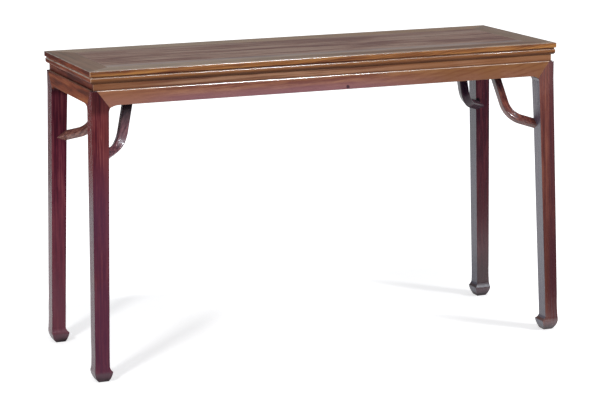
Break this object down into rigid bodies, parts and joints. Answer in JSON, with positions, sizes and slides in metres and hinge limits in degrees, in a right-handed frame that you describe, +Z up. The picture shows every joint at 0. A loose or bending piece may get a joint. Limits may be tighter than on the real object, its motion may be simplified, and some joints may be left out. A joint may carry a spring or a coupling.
{
  "type": "chinese altar table",
  "caption": "Long narrow corner-leg table with a framed top, recessed waist, straight mitred aprons, square legs with inward hoof feet and curved braces up to the underside of the top.",
  "frame": {"origin": "middle of the floor area under the table, on the floor", "axes": "+X along the table's length to the right, +Y from the front to the back, +Z up"},
  "size_m": [1.4144, 0.4924, 0.85],
  "materials": {
    "frame_wood": "satin lacquered reddish brown hardwood",
    "panel_wood": "satin lacquered greyish brown hardwood with long streaks",
    "waist_wood": "satin lacquered reddish brown hardwood",
    "apron_wood": "satin lacquered golden brown hardwood",
    "leg_wood": "satin lacquered dark red brown hardwood",
    "brace_wood": "satin lacquered dark red brown hardwood",
    "batten_wood": "plain planed hardwood"
  },
  "bodies": {
    "root": {"front_rail": "frame_wood", "back_rail": "frame_wood", "left_end_rail": "frame_wood", "right_end_rail": "frame_wood", "top_panel": "panel_wood", "batten_left_outer": "batten_wood", "batten_right_outer": "batten_wood", "batten_left_inner": "batten_wood", "batten_right_inner": "batten_wood", "waist_front": "waist_wood", "waist_back": "waist_wood", "waist_left": "waist_wood", "waist_right": "waist_wood", "apron_front": "apron_wood", "apron_back": "apron_wood", "apron_left": "apron_wood", "apron_right": "apron_wood", "leg_front_left": "leg_wood", "leg_front_right": "leg_wood", "leg_back_left": "leg_wood", "leg_back_right": "leg_wood", "brace_front_left": "brace_wood", "brace_front_right": "brace_wood", "brace_back_left": "brace_wood", "brace_back_right": "brace_wood", "brace_wedges": "batten_wood", "brace_pins": "batten_wood"}
  },
  "joints": []
}
